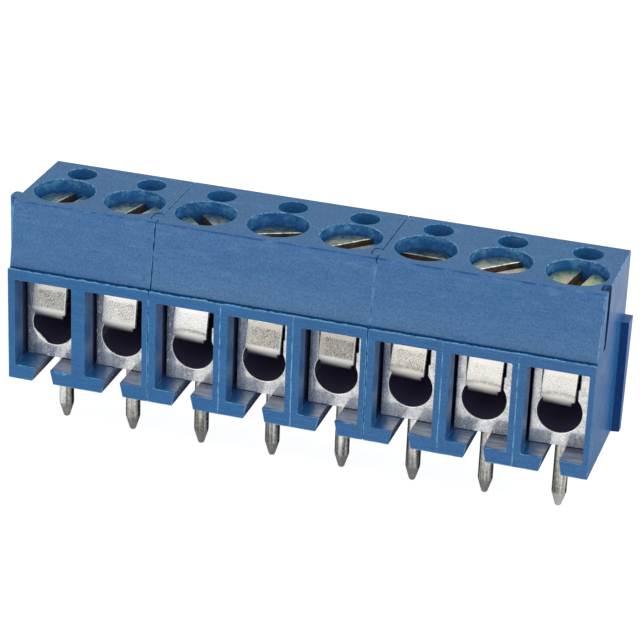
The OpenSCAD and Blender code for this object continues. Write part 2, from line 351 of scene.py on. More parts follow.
    # painted reflection of the clamp blocks on the sills, streaky: over the inner half of a left-hand one and most of a
    # right-hand one
    across = n.math("SUBTRACT", n.math("MODULO", n.math("ADD", x, 20.0), 5.0), 2.5)
    left = n.math("MULTIPLY", n.math("MULTIPLY", n.span(across, 0.0, -0.01), n.span(across, -1.35, -0.75)), n.span(x, -19.0, 4.0, 0.22, 1.0))
    right = n.math("MULTIPLY", n.math("MULTIPLY", n.span(across, 0.0, 0.01), n.span(across, 0.5, 1.6, 0.6, 1.0)), n.span(x, -20.0, -2.0, 0.6, 1.0))
    sill_reflection = n.math("MULTIPLY", n.math("MULTIPLY", low, top), n.math("MULTIPLY", n.math("MULTIPLY", n.span(y, -2.2, -2.8), n.span(y, -3.92, -3.76)), n.math("ADD", left, right)))
    base = n.mix(n.math("MULTIPLY", sill_reflection, n.span(sill_streaks, 0.38, 0.60, 0.35, 0.97)), base, (0.40, 0.395, 0.405))
    # painted shadow along the back of each sill next to the clamp block, stronger on the right-hand one
    sill_back_shadow = n.math("MULTIPLY", n.math("MULTIPLY", low, top), n.math("MULTIPLY", n.span(across, 0.0, 0.01, 0.4, 1.0), n.span(y, -2.75, -2.25, 0.0, 0.9)))
    base = n.mix(sill_back_shadow, base, (0.014, 0.022, 0.062))
    side = n.span(n.math("ADD", grain, cloud), 0.7, 1.3, 0.44, 0.28)
    upper = n.span(grain, 0.3, 0.7, 0.62, 0.44)
    sill = n.span(sill_streaks, 0.3, 0.7, 0.08, 0.22)
    flat = n.math("ADD", n.math("MULTIPLY", upper, n.span(low, 0, 1, 1, 0)), n.math("MULTIPLY", sill, low))
    rough = n.math("ADD", n.math("MULTIPLY", side, n.span(top, 0, 1, 1, 0)), n.math("MULTIPLY", flat, top))
    rough = n.math("ADD", rough, n.math("SUBTRACT", n.math("MULTIPLY", inner, 0.02), n.math("MULTIPLY", end, 0.10)))
    # painted shade in the undercuts: smoother there, and metallic in its own dark colour so that it reflects little
    rough = n.math("MULTIPLY", rough, n.span(n.attribute("deep"), 0, 1, 1.0, 0.5))
    n.set(Base_Color=base, Roughness=rough, Metallic=n.span(n.attribute("deep"), 0.85, 1.0, 0.0, 0.9))
    n.bsdf.inputs["IOR"].default_value = 1.36
    lines = n.math("MULTIPLY", drawn, n.span(top, 0, 1, 1.0, 0.3))
    b = n.bump(n.math("ADD", n.math("MULTIPLY", speck, high), n.math("MULTIPLY", grain, 0.3)), 0.016, 0.55)
    n.set(Normal=n.bump(lines, 0.010, 0.45, b))
    return n.m


def tin_material(name, base, dark, rough, grain_mm, bump_mm, streak, share=0.4, bend=False, marks=0.0, metal=1.0, crease_and_shade=0.0, level=0.0, fold=1.10, bend_glint=0.0):
    """Tin plating: metal with a cloud, fine grain and drawn or rolled lines. On a leaf, the bend has less grain and
    more roughness and can carry a painted highlight band, with painted shade below it, and painted light towards the
    top and the edges.
    """
    n = Nodes(name)
    cloud = n.noise(1.3, 3, 0.6, shift=(2, 5, 1))
    grain = n.noise(grain_mm, 1, 0.55)
    lines = n.noise(1.0, 2, 0.5, stretch=streak)
    tone = n.math("ADD", n.math("MULTIPLY", cloud, 1 - share), n.math("MULTIPLY", grain, share))
    matt = n.math("ADD", grain, lines)
    fine = n.math("ADD", grain, n.math("MULTIPLY", lines, 0.6))
    if bend:
        # painted light: the leaf is lighter towards its left side and near its top, and a painted highlight runs along
        # both side edges
        painted_leaf_light = n.math("ADD", n.span(n.attribute("left"), 0.80, 1.0, 0.0, 0.17), n.span(n.attribute("rise"), 2.10, 2.28, 0.0, 0.16))
        cut = n.math("ADD", n.span(n.attribute("left"), 0.945, 0.98, 0.0, 0.25), n.span(n.attribute("left"), 0.055, 0.02, 0.0, 0.20))
        tone = n.math("ADD", tone, n.math("ADD", painted_leaf_light, cut))
        keep = n.span(n.attribute("bend"), 0, 1, 1.0, 0.12)
        tone = n.math("ADD", n.math("MULTIPLY", n.math("SUBTRACT", tone, 0.56 - level), keep), 0.56 - level)
        fine = n.math("MULTIPLY", fine, keep)
    r = n.span(matt, 0.7, 1.3, rough[0], rough[1])
    if marks:
        x, y, z = n.place()
        face = n.span(y, -BLOCK_F + 0.12, -BLOCK_F + 0.16, 1.0, 0.0)
        pits = n.span(n.noise(21.0, 1, 0.5, shift=(5, 3, 8)), 0.54, 0.62, 0.0, 0.30)
        r = n.math("ADD", r, n.math("MULTIPLY", face, n.math("MAXIMUM", pits, n.span(lines, 0.60, 0.72, 0.0, marks))))
    if bend:
        r = n.math("MULTIPLY", r, n.span(n.attribute("bend"), 0, 1, 1.0, 1.5))
    col = n.ramp(tone, [(0.36 - level, dark), (0.62 - level, base)])
    if marks:
        # painted reflection of the blue housing as bluish patches at the left and low down, pale flecks, and the bright
        # rim of the hole
        across = n.math("SUBTRACT", n.math("MODULO", n.math("ADD", x, 20.0), 5.0), 2.5)
        side = n.math("MULTIPLY", n.span(across, -1.15, -1.45), n.span(x, 9.0, 9.5, 1.0, 0.25))
        side = n.math("MULTIPLY", side, n.math("MAXIMUM", n.span(z, 2.7, 1.9, 1.0, 0.25), n.span(x, -16.0, -14.0, 1.0, 0.0)))
        painted_blue_reflection = n.math("MULTIPLY", n.math("MAXIMUM", side, n.math("MULTIPLY", n.span(z, 2.05, 1.75), n.span(x, -16.0, -14.0, 1.0, 0.35))), n.span(n.noise(1.0, 2, 0.45, stretch=(1.9, 1.0, 0.7), shift=(8, 1, 4)), 0.36, 0.62, 0.15, 0.75))
        col = n.mix(n.math("MULTIPLY", painted_blue_reflection, face), col, (0.34, 0.43, 0.58))
        # painted reflection: a near-white foot below the hole on some blocks
        pale = n.math("MULTIPLY", n.span(x, -16.0, -14.0, 0.0, 0.75), n.math("MAXIMUM", n.span(x, 9.9, 10.1, 1.0, 0.0), n.span(x, 14.9, 15.1)))
        foot = n.math("MULTIPLY", n.math("MULTIPLY", n.span(z, 2.9, 2.2), face), n.math("MULTIPLY", n.math("MULTIPLY", pale, n.span(across, -0.6, -1.1)), n.span(lines, 0.36, 0.60, 0.3, 1.0)))
        col = n.mix(foot, col, (1.0, 0.995, 0.975))
        fleck = n.math("MULTIPLY", n.span(n.noise(3.4, 3, 0.7, stretch=(1.5, 1.0, 0.7), shift=(2, 2, 9)), 0.60, 0.66), n.math("MULTIPLY", face, n.span(x, -8.0, -4.0, 0.95, 0.45)))
        col = n.mix(fleck, col, (1.0, 0.995, 0.965))
        r = n.math("ADD", r, n.math("MULTIPLY", fleck, 0.45))
        col = n.mix(n.attribute("ring"), col, (1.0, 0.975, 0.92))
        col = n.mix(n.attribute("shade"), col, (0.30, 0.28, 0.45))
    if bend:
        # painted highlight along the leaf's side edges
        col = n.mix(n.math("MULTIPLY", n.attribute("rim"), n.span(grain, 0.40, 0.58, 0.2, 1.0)), col, (1.0, 0.985, 0.95))
        # creased line just above the bend, darker, with painted shade that fades upwards from it
        if crease_and_shade:
            x = n.place()[0]
            across = n.math("SUBTRACT", n.math("MODULO", n.math("ADD", x, 20.0), 5.0), 2.5)
            arch = n.math("SUBTRACT", fold, n.math("MULTIPLY", n.math("MULTIPLY", across, across), 0.09))
            above = n.math("SUBTRACT", n.attribute("rise"), arch)
            near = n.math("MAXIMUM", n.span(n.math("ABSOLUTE", above, 0), 0.02, 0.23, 1.0, 0.0), n.math("MULTIPLY", n.span(above, 0.55, 0.05, 0.0, 0.35), n.span(above, -0.05, 0.0)))
            rub = n.span(n.noise(1.0, 3, 0.65, stretch=(4.0, 1.0, 6.0), shift=(1, 4, 2)), 0.34, 0.62, 0.35, 1.0)
            col = n.mix(n.math("MULTIPLY", n.math("MULTIPLY", near, rub), crease_and_shade), col, (0.22, 0.21, 0.19))
        # painted highlight: a near-white band on the bend
        if bend_glint:
            col = n.mix(n.math("MULTIPLY", n.attribute("bend"), bend_glint), col, (1.0, 0.985, 0.94))
        # painted shade under the bend, nearly black at its lowest part
        col = n.mix(n.attribute("under"), col, (0.020, 0.018, 0.022))
    n.set(Base_Color=col, Roughness=r)
    n.bsdf.inputs["Metallic"].default_value = metal
    n.set(Normal=n.bump(fine, bump_mm, 0.6))
    return n.m


def pin_material():
    """Tin plated wire: drawn bands along its length, spots, and a matt sheared taper."""
    n = Nodes("tin_plated_pin")
    bands = n.noise(1.0, 2, 0.5, stretch=(4.4, 4.4, 0.10), shift=(4, 1, 7))
    spots = n.noise(5.0, 3, 0.65, shift=(2, 6, 1))
    tone = n.math("ADD", n.math("MULTIPLY", bands, 0.72), n.math("MULTIPLY", spots, 0.28))
    col = n.ramp(tone, [(0.38, (0.20, 0.19, 0.168)), (0.48, (0.48, 0.462, 0.41)), (0.61, (0.97, 0.945, 0.87))])
    tip = n.attribute("tip")
    sheared = n.mix(n.span(n.place()[0], 15.0, 16.0), (0.41, 0.398, 0.355), (0.72, 0.705, 0.64))
    col = n.mix(n.math("MULTIPLY", tip, n.span(spots, 0.3, 0.7, 0.95, 0.75)), col, sheared)
    n.set(Base_Color=col, Roughness=n.math("ADD", n.span(spots, 0.3, 0.7, 0.16, 0.32), n.math("MULTIPLY", tip, 0.28)))
    n.bsdf.inputs["Metallic"].default_value = 1.0
    n.set(Normal=n.bump(n.math("ADD", bands, spots), 0.006, 0.6))
    return n.m


def screw_material():
    """Zinc plating with a yellow passivation that shifts through green, cream and pink; brown inside the driver slot."""
    n = Nodes("yellow_passivated_zinc")
    film = n.noise(0.62, 2, 0.5, distort=0.7)
    blot = n.noise(2.6, 3, 0.6, shift=(1, 8, 3))
    tone = n.math("ADD", n.math("MULTIPLY", film, 0.62), n.math("MULTIPLY", blot, 0.38))
    col = n.ramp(tone, [(0.34, (0.20, 0.33, 0.33)), (0.43, (0.34, 0.43, 0.35)), (0.50, (0.53, 0.56, 0.41)), (0.56, (0.68, 0.61, 0.46)), (0.61, (0.72, 0.50, 0.46)), (0.67, (0.36, 0.42, 0.38))])
    x, y, z = n.place()
    # tone and tint screw by screw: partly the film's real colour, partly painted shade on the darker screws
    col = n.mix(1.0, col, n.ramp(n.span(x, -20.0, 20.0), [(0.0, (0.62, 0.84, 0.98)), (0.19, (0.88, 1.02, 1.05)), (0.31, (0.66, 0.84, 0.94)), (0.44, (0.82, 0.86, 0.92)), (0.56, (0.84, 0.88, 0.92)), (0.69, (0.52, 0.55, 0.60)), (0.81, (1.04, 1.05, 1.06)), (0.92, (1.03, 1.16, 0.94)), (1.0, (1.03, 1.16, 0.94))]), "MULTIPLY")
    seventh = n.math("MULTIPLY", n.span(x, 10.2, 10.4), n.span(x, 14.8, 14.6))
    col = n.mix(n.math("MULTIPLY", seventh, n.math("MULTIPLY", n.span(x, 12.4, 11.6), n.span(y, 0.6, 0.0, 0.0, 0.7))), col, (0.60, 0.68, 0.44))
    col = n.mix(n.math("MULTIPLY", seventh, n.math("MULTIPLY", n.span(x, 12.3, 13.0), n.span(y, 0.1, -0.6, 0.0, 0.85))), col, (0.95, 0.60, 0.60))
    slot, thread = n.attribute("slot"), n.attribute("thread")
    col = n.mix(n.math("MULTIPLY", slot, n.span(blot, 0.3, 0.7, 1.0, 0.82)), col, (0.24, 0.145, 0.105))
    # painted shade: the thread, deep in the block, is nearly black brown
    col = n.mix(thread, col, (0.085, 0.062, 0.046))
    # painted highlight: a broken white line along the upper edges of the slot
    col = n.mix(n.math("MULTIPLY", n.attribute("lip"), n.span(n.noise(3.0, 2, 0.6, shift=(5, 5, 2)), 0.42, 0.58, 0.0, 0.95)), col, (0.97, 0.97, 0.94))
    n.set(Base_Color=col, Roughness=n.math("ADD", n.span(blot, 0.3, 0.7, 0.20, 0.42), n.math("MULTIPLY", slot, 0.25)))
    n.bsdf.inputs["Metallic"].default_value = 1.0
    turned = n.noise(14.0, 2, 0.5)
    n.set(Normal=n.bump(turned, 0.008, 0.5))
    return n.m


PLASTIC = plastic_material()
BLOCK = tin_material("tin_plated_block", (1.0, 0.985, 0.945), (0.52, 0.535, 0.545), (0.08, 0.17), 6.0, 0.004, (8.0, 1.0, 0.5), marks=0.35, metal=0.76)
LEAF = dict(rough=(0.20, 0.32), grain_mm=20.0, bump_mm=0.010, streak=(10.0, 1.0, 0.8), share=0.85, bend=True, metal=0.8)
# lighter and darker copies of one tin, leaf by leaf: painted light for how much light each leaf catches
LEAF_DIM = tin_material("tin_leaf_dim", (0.74, 0.73, 0.69), (0.12, 0.117, 0.11), bend_glint=0.55, **LEAF)
LEAF_DIM_WARM = tin_material("tin_leaf_dim_warm", (0.76, 0.72, 0.64), (0.11, 0.103, 0.09), bend_glint=0.7, **LEAF)
LEAF_DIM_DARK = tin_material("tin_leaf_dim_dark", (0.65, 0.615, 0.545), (0.085, 0.08, 0.07), bend_glint=0.6, **LEAF)
PLAIN = tin_material("tin_leaf", (1.0, 0.985, 0.93), (0.32, 0.315, 0.295), **LEAF)
PLAIN_WARM = tin_material("tin_leaf_warm", (0.98, 0.935, 0.83), (0.30, 0.28, 0.25), crease_and_shade=0.65, fold=1.04, **LEAF)
BRIGHT = tin_material("tin_leaf_bright", (1.0, 0.995, 0.965), (0.40, 0.395, 0.37), crease_and_shade=0.75, level=0.11, fold=0.99, **LEAF)
BRIGHT_WARM = tin_material("tin_leaf_bright_warm", (1.0, 0.97, 0.90), (0.40, 0.38, 0.345), crease_and_shade=0.7, level=0.10, fold=1.00, **LEAF)
LEAVES = [LEAF_DIM, PLAIN, BRIGHT, LEAF_DIM_WARM, LEAF_DIM_DARK, PLAIN_WARM, BRIGHT_WARM, BRIGHT_WARM]
PIN = pin_material()
ZINC = screw_material()


# ---------------------------------------------------------------- housing
def filleted(corners):
    """Rounded outline from (y, z, radius, segments): points, outward normals and the corner each belongs to."""
    pts, nrm, tag = [], [], []
    n = len(corners)
    P = [np.array(c[:2]) for c in corners]
    for i, (y, z, r, seg) in enumerate(corners):
        a, b, c = P[i - 1], P[i], P[(i + 1) % n]
        u, v = (a - b) / np.linalg.norm(a - b), (c - b) / np.linalg.norm(c - b)
        ang = math.acos(np.clip(u @ v, -1, 1))
        d = r / math.tan(ang / 2)
        turn = (b - a)[0] * (c - b)[1] - (b - a)[1] * (c - b)[0]
        centre = b + (u + v) / np.linalg.norm(u + v) * (r / math.sin(ang / 2))
        p0, p1 = b + u * d - centre, b + v * d - centre
        t0, t1 = math.atan2(p0[1], p0[0]), math.atan2(p1[1], p1[0])
        dt = (t1 - t0 + math.pi) % (2 * math.pi) - math.pi
        for k in range(seg + 1):
            t = t0 + dt * k / seg
            q = np.array([math.cos(t), math.sin(t)])
            pts.append(centre + r * q)
            nrm.append(q if turn < 0 else -q)
            tag.append(i)
    return np.array(pts), np.array(nrm), tag


def walk(rng, xs, length, amp):
    """Smooth random line over xs with the given correlation length."""
    knots = np.arange(xs[0] - length, xs[-1] + 2 * length, length)
    return np.interp(xs, knots, rng.uniform(-amp, amp, len(knots)))


def housing_base(name, first, n, ridges, seed):
    """Outer form of a module: outline carried along X, with rounded ends, a ragged flash lip in front of the shelf and fine parting ridges."""
    rng = np.random.default_rng(seed)
    slope = LEAN / (HEIGHT - SHELF)
    low = 7.52
    corners = [
        (-FRONT, 0, 0.09, 3), (-FRONT, SHELF, 0.035, 2), (-FRONT + 0.11, SHELF, 0.03, 2), (-FRONT + 0.15, low, 0.03, 2),
        (-FRONT + STEP + 0.10, low, 0.03, 2), (-FRONT + STEP + 0.10, SHELF - 0.02, 0.02, 2),
        (-FRONT + STEP + slope * 0.04, SHELF + 0.04, 0.02, 2), (-FRONT + STEP + LEAN, HEIGHT, 0.12, 4),
        (BACK, HEIGHT, 0.065, 4), (BACK, 0, 0.10, 3),
    ]
    pts, nrm, tag = filleted(corners)
    # extra points up the lower front, so that a ridge can wander
    k = max(i for i, t in enumerate(tag) if t == 0) + 1
    zs = np.arange(0.45, 7.9, 0.35)
    pts = np.insert(pts, k, np.stack([np.full(len(zs), -FRONT), zs], 1), 0)
    nrm = np.insert(nrm, k, np.tile([-1.0, 0.0], (len(zs), 1)), 0)
    tag = tag[:k] + [-1] * len(zs) + tag[k:]
    tag = np.array(tag)
    k = int(np.max(np.nonzero(tag == 6))) + 1
    hs = np.arange(8.3, 12.2, 0.3)
    pts = np.insert(pts, k, np.stack([-FRONT + STEP + slope * (hs - SHELF), hs], 1), 0)
    nrm = np.insert(nrm, k, np.tile([-1 / math.hypot(1, slope), slope / math.hypot(1, slope)], (len(hs), 1)), 0)
    tag = np.insert(tag, k, np.full(len(hs), -2))

    x0, x1 = LEFT + first * PITCH + SEAM, LEFT + (first + n) * PITCH - SEAM
    turn = [math.radians(t) for t in (0, 30, 60, 90)]
    seam_left, seam_right = first > 0, first + n < POLES

    def end(seam):
        e = 0.034 if seam else 0.05
        return [(e * (1 - math.cos(t)), e * (1 - math.sin(t))) for t in turn]

    left, right = end(seam_left), end(seam_right)
    xs = [x0 + a for a, _ in left]
    inset = [b for _, b in left]
    mid = list(np.arange(x0 + 0.2, x1 - 0.12, 0.13))
    for r in ridges:
        mid = [m for m in mid if abs(m - r) > 0.12] + [r - 0.04, r - 0.018, r, r + 0.018, r + 0.04]
    if not seam_right:
        mid = [m for m in mid if m < x1 - 0.24] + [x1 - 0.22, x1 - 0.17, x1 - 0.13, x1 - 0.10, x1 - 0.075]
    xs += sorted(mid)
    inset += [0.0] * len(mid)
    xs += [x1 - a for a, _ in right[::-1]]
    inset += [b for _, b in right[::-1]]
    xs, inset = np.array(xs), np.array(inset)

    lip = 0.030 + walk(rng, xs, 0.8, 0.020) + walk(rng, xs, 0.14, 0.034)
    lip += 0.035 * (rng.random(len(xs)) > 0.93)
    out = walk(rng, xs, 0.26, 0.014) - 0.014
    deep = np.clip(np.minimum(xs - x0 - 0.10, x1 - 0.10 - xs) / 0.08, 0, 1)
    wander = {r: walk(rng, zs, 0.8, 0.03) for r in ridges}
    proud = {r: 0.019 + walk(rng, zs, 0.5, 0.012) for r in ridges}
    tight = {-1: first == 5, 1: first == 2}
    nick = {s: rng.uniform(0.026, 0.0292, len(hs)) if tight[s] else rng.uniform(-0.018, 0.016, len(hs)) for s in (-1, 1)}
    burr = {s: (rng.uniform(-0.004, 0.024, len(zs)), rng.uniform(0.0, 0.026, len(zs))) for s in (-1, 1)}

    rings = []
    for x, d, lz, ly, g in zip(xs, inset, lip, out, deep):
        p = pts - nrm * d
        t1, t2 = tag == 1, tag == 2
        p[t1 | t2, 1] += lz * g
        p[t1, 0] += ly * g
        deepest = (tag == 3) | (tag == 4)
        p[deepest, 1] += (SHELF - low - 0.04) * (1 - g)
        p[(tag == 4) | (tag == 5), 0] -= 0.085 * (1 - g)
        ring = np.column_stack([np.full(len(p), x), p])
        for r in ridges:
            if abs(x - r) < 0.1:
                rise = max(0.0, 1 - abs(x - r) / 0.036)
                ring[tag == -1, 0] += wander[r]
                ring[tag == -1, 1] -= rise * np.clip(proud[r], 0.004, None)
        if not seam_right:
            # worn edge of the leaning face beside the interlock groove
            ring[tag == -2, 1] += 0.055 * max(0.0, 1 - (x1 - x) / 0.16) ** 2
        for side, seam, edge in ((-1, seam_left, x0), (1, seam_right, x1)):
            if seam and abs(x - edge) < 0.03:
                ring[tag == -1, 0] += side * burr[side][0]
                ring[tag == -1, 1] -= burr[side][1]
                ring[tag == -2, 0] += side * nick[side]
        rings.append(ring)
    return loft(name, rings)


def prism(name, plan, z0, z1, planes=(), width=0.0):
    """Upright prism cut by (point, normal) planes that remove what lies on the normal's side."""
    n = len(plan)
    ob = loft(name, [np.column_stack([plan, np.full(n, z0)]), np.column_stack([plan, np.full(n, z1)])])
    bm = bmesh.new()
    bm.from_mesh(ob.data)
    for co, no in planes:
        g = bm.verts[:] + bm.edges[:] + bm.faces[:]
        cut = bmesh.ops.bisect_plane(bm, geom=g, plane_co=co, plane_no=no, clear_outer=True)
        edges = [c for c in cut["geom_cut"] if isinstance(c, bmesh.types.BMEdge)]
        bmesh.ops.edgenet_fill(bm, edges=edges)
    bmesh.ops.recalc_face_normals(bm, faces=bm.faces)
    bm.to_mesh(ob.data)
    bm.free()
    if width:
        bevel(ob, width)
    return ob


def round_plan(plan, radii, n=5):
    """Plan outline with some of its corners rounded."""
    out = []
    for i, r in enumerate(radii):
        a, b, c = (np.array(plan[j % len(plan)], float) for j in (i - 1, i, i + 1))
        if not r:
            out.append(b)
            continue
        u, v = (a - b) / np.linalg.norm(a - b), (c - b) / np.linalg.norm(c - b)
        half = math.acos(u @ v) / 2
        centre = b + (u + v) / np.linalg.norm(u + v) * (r / math.sin(half))
        p0, p1 = b + u * r / math.tan(half) - centre, b + v * r / math.tan(half) - centre
        t0 = math.atan2(p0[1], p0[0])
        dt = (math.atan2(p1[1], p1[0]) - t0 + math.pi) % (2 * math.pi) - math.pi
        out += [centre + r * np.array([math.cos(t0 + dt * k / n), math.sin(t0 + dt * k / n)]) for k in range(n + 1)]
    return np.array(out)


def tongue(name, x, g, up, width, more=0.0):
    y1 = -FRONT + STEP + LEAN + 0.71
    z0 = SHELF + 0.25 - g
    y2 = y1 + g + more
    plan = [(x + 0.2, y1 - g), (x, y1 - g), (x - LOCK - g, y1 - 0.27 - g), (x - LOCK - g, y2 + 1.05), (x, y2 + 0.73), (x + 0.2, y2 + 0.73)]
    run, rise = 0.62, HEIGHT - z0
    no = Vector((0, rise, -run)).normalized()
    return prism(name, round_plan(plan, (0, 0, 0.20, 0.29, 0, 0)), z0, HEIGHT + up, [((x, y2 + 1.05, HEIGHT), no)], width)


def rib(name, x, width):
    y1 = BACK - 1.3
    plan = [(x - 0.2, y1 - 0.2), (x, y1 - 0.2), (x + LOCK, y1 - 0.1), (x + LOCK, BACK - 0.15), (x - 0.2, BACK - 0.15)]
    run, rise = BACK - 0.15 - y1 - 0.5, SHELF - 0.05
    no = Vector((0, rise, -run)).normalized()
    return prism(name, np.array(plan), 0, SHELF - 0.05, [((x, BACK - 0.15, SHELF - 0.05), no)], width)


def rib_groove(name, x, g):
    y1 = BACK - 1.3
    plan = [(x - 0.4, y1 - g), (x, y1 - g), (x + LOCK + g, y1 - 0.2 - g), (x + LOCK + g, BACK + 1), (x - 0.4, BACK + 1)]
    return prism(name, np.array(plan), -1, SHELF + g)


def quarter(r, n=4):
    """(in, out) steps of a rounded rim: how far in from the face, and how far out from the wall."""
    return [(r * (1 - math.sin(math.radians(90 * i / n))), r * (1 - math.cos(math.radians(90 * i / n)))) for i in range(n + 1)]


def chamber(name, x):
    x += WIN_DX
    rings = []
    for y, o in [(CHAMBER, 0.0)] + [(-FRONT + a - 0.001, b) for a, b in quarter(0.045)] + [(-FRONT - 0.4, 0.045)]:
        p = rrect(x - WIN_W / 2 - o, x + WIN_W / 2 + o, SILL - o, LINTEL + o, 0.09 + o, 3)
        rings.append(np.column_stack([p[:, 0], np.full(len(p), y), p[:, 1]]))
    return loft(name, rings)


POCKET_Y = [2.65, 2.50, 2.60, 2.70, 2.88, 2.80, 2.72, 2.72]


def pocket(name, k):
    """Relief in the chamber's left wall, beside the clamp block."""
    x = pole_x(k) + WIN_DX - WIN_W / 2
    p = rrect(x - 0.25, x + 0.3, SILL + 0.015, LINTEL - 0.015, 0.04, 2)
    return loft(name, [np.column_stack([p[:, 0], np.full(len(p), y), p[:, 1]]) for y in (-POCKET_Y[k], CHAMBER - 0.02)])


def floor_slot(name, x):
    rim, top = quarter(0.06, 3), []
    half = lambda z: SLOT_LOW / 2 + (SLOT_TOP - SLOT_LOW) / 2 * z / SILL
    side = [(half(0) + 0.055, -0.4), (half(0) + 0.055, -0.001)]
    side += [(half(0.05) + 0.0, 0.05)]
    side += [(half(SILL - a) + b, SILL - a + 0.001) for a, b in rim]
    side += [(side[-1][0], SILL + 0.35)]
    side = np.array(side)
    poly = np.concatenate([side, side[::-1] * [-1, 1]])
    rings = []
    for y, o in [(SLOT_END, 0.0)] + [(-FRONT + a - 0.001, b) for a, b in quarter(0.05, 3)] + [(-FRONT - 0.4, 0.05)]:
        p = poly.copy()
        p[:, 0] += np.sign(p[:, 0]) * o
        rings.append(np.column_stack([p[:, 0] + x, np.full(len(p), y), p[:, 1]]))
    return loft(name, rings)


def well(name, x, seed):
    prof = [(NECK_R, LINTEL - 0.25), (NECK_R, WELL_FLOOR - 0.06), (NECK_R + 0.06, WELL_FLOOR), (WELL_R - 0.05, WELL_FLOOR), (WELL_R, WELL_FLOOR + 0.05)]
    prof += [(WELL_R + b, HEIGHT - a + 0.001) for a, b in quarter(0.07)] + [(WELL_R + 0.07, HEIGHT + 0.4)]
    return revolve(name, prof, 128, (x, 0, 0))


def probe(name, x):
    prof = [(PROBE_R - 0.1, LINTEL - 0.05), (PROBE_R, LINTEL + 0.05)]
    prof += [(PROBE_R + b, HEIGHT - a + 0.001) for a, b in quarter(0.05, 3)] + [(PROBE_R + 0.05, HEIGHT + 0.4)]
    return revolve(name, prof, 72, (x, PROBE_Y, 0))


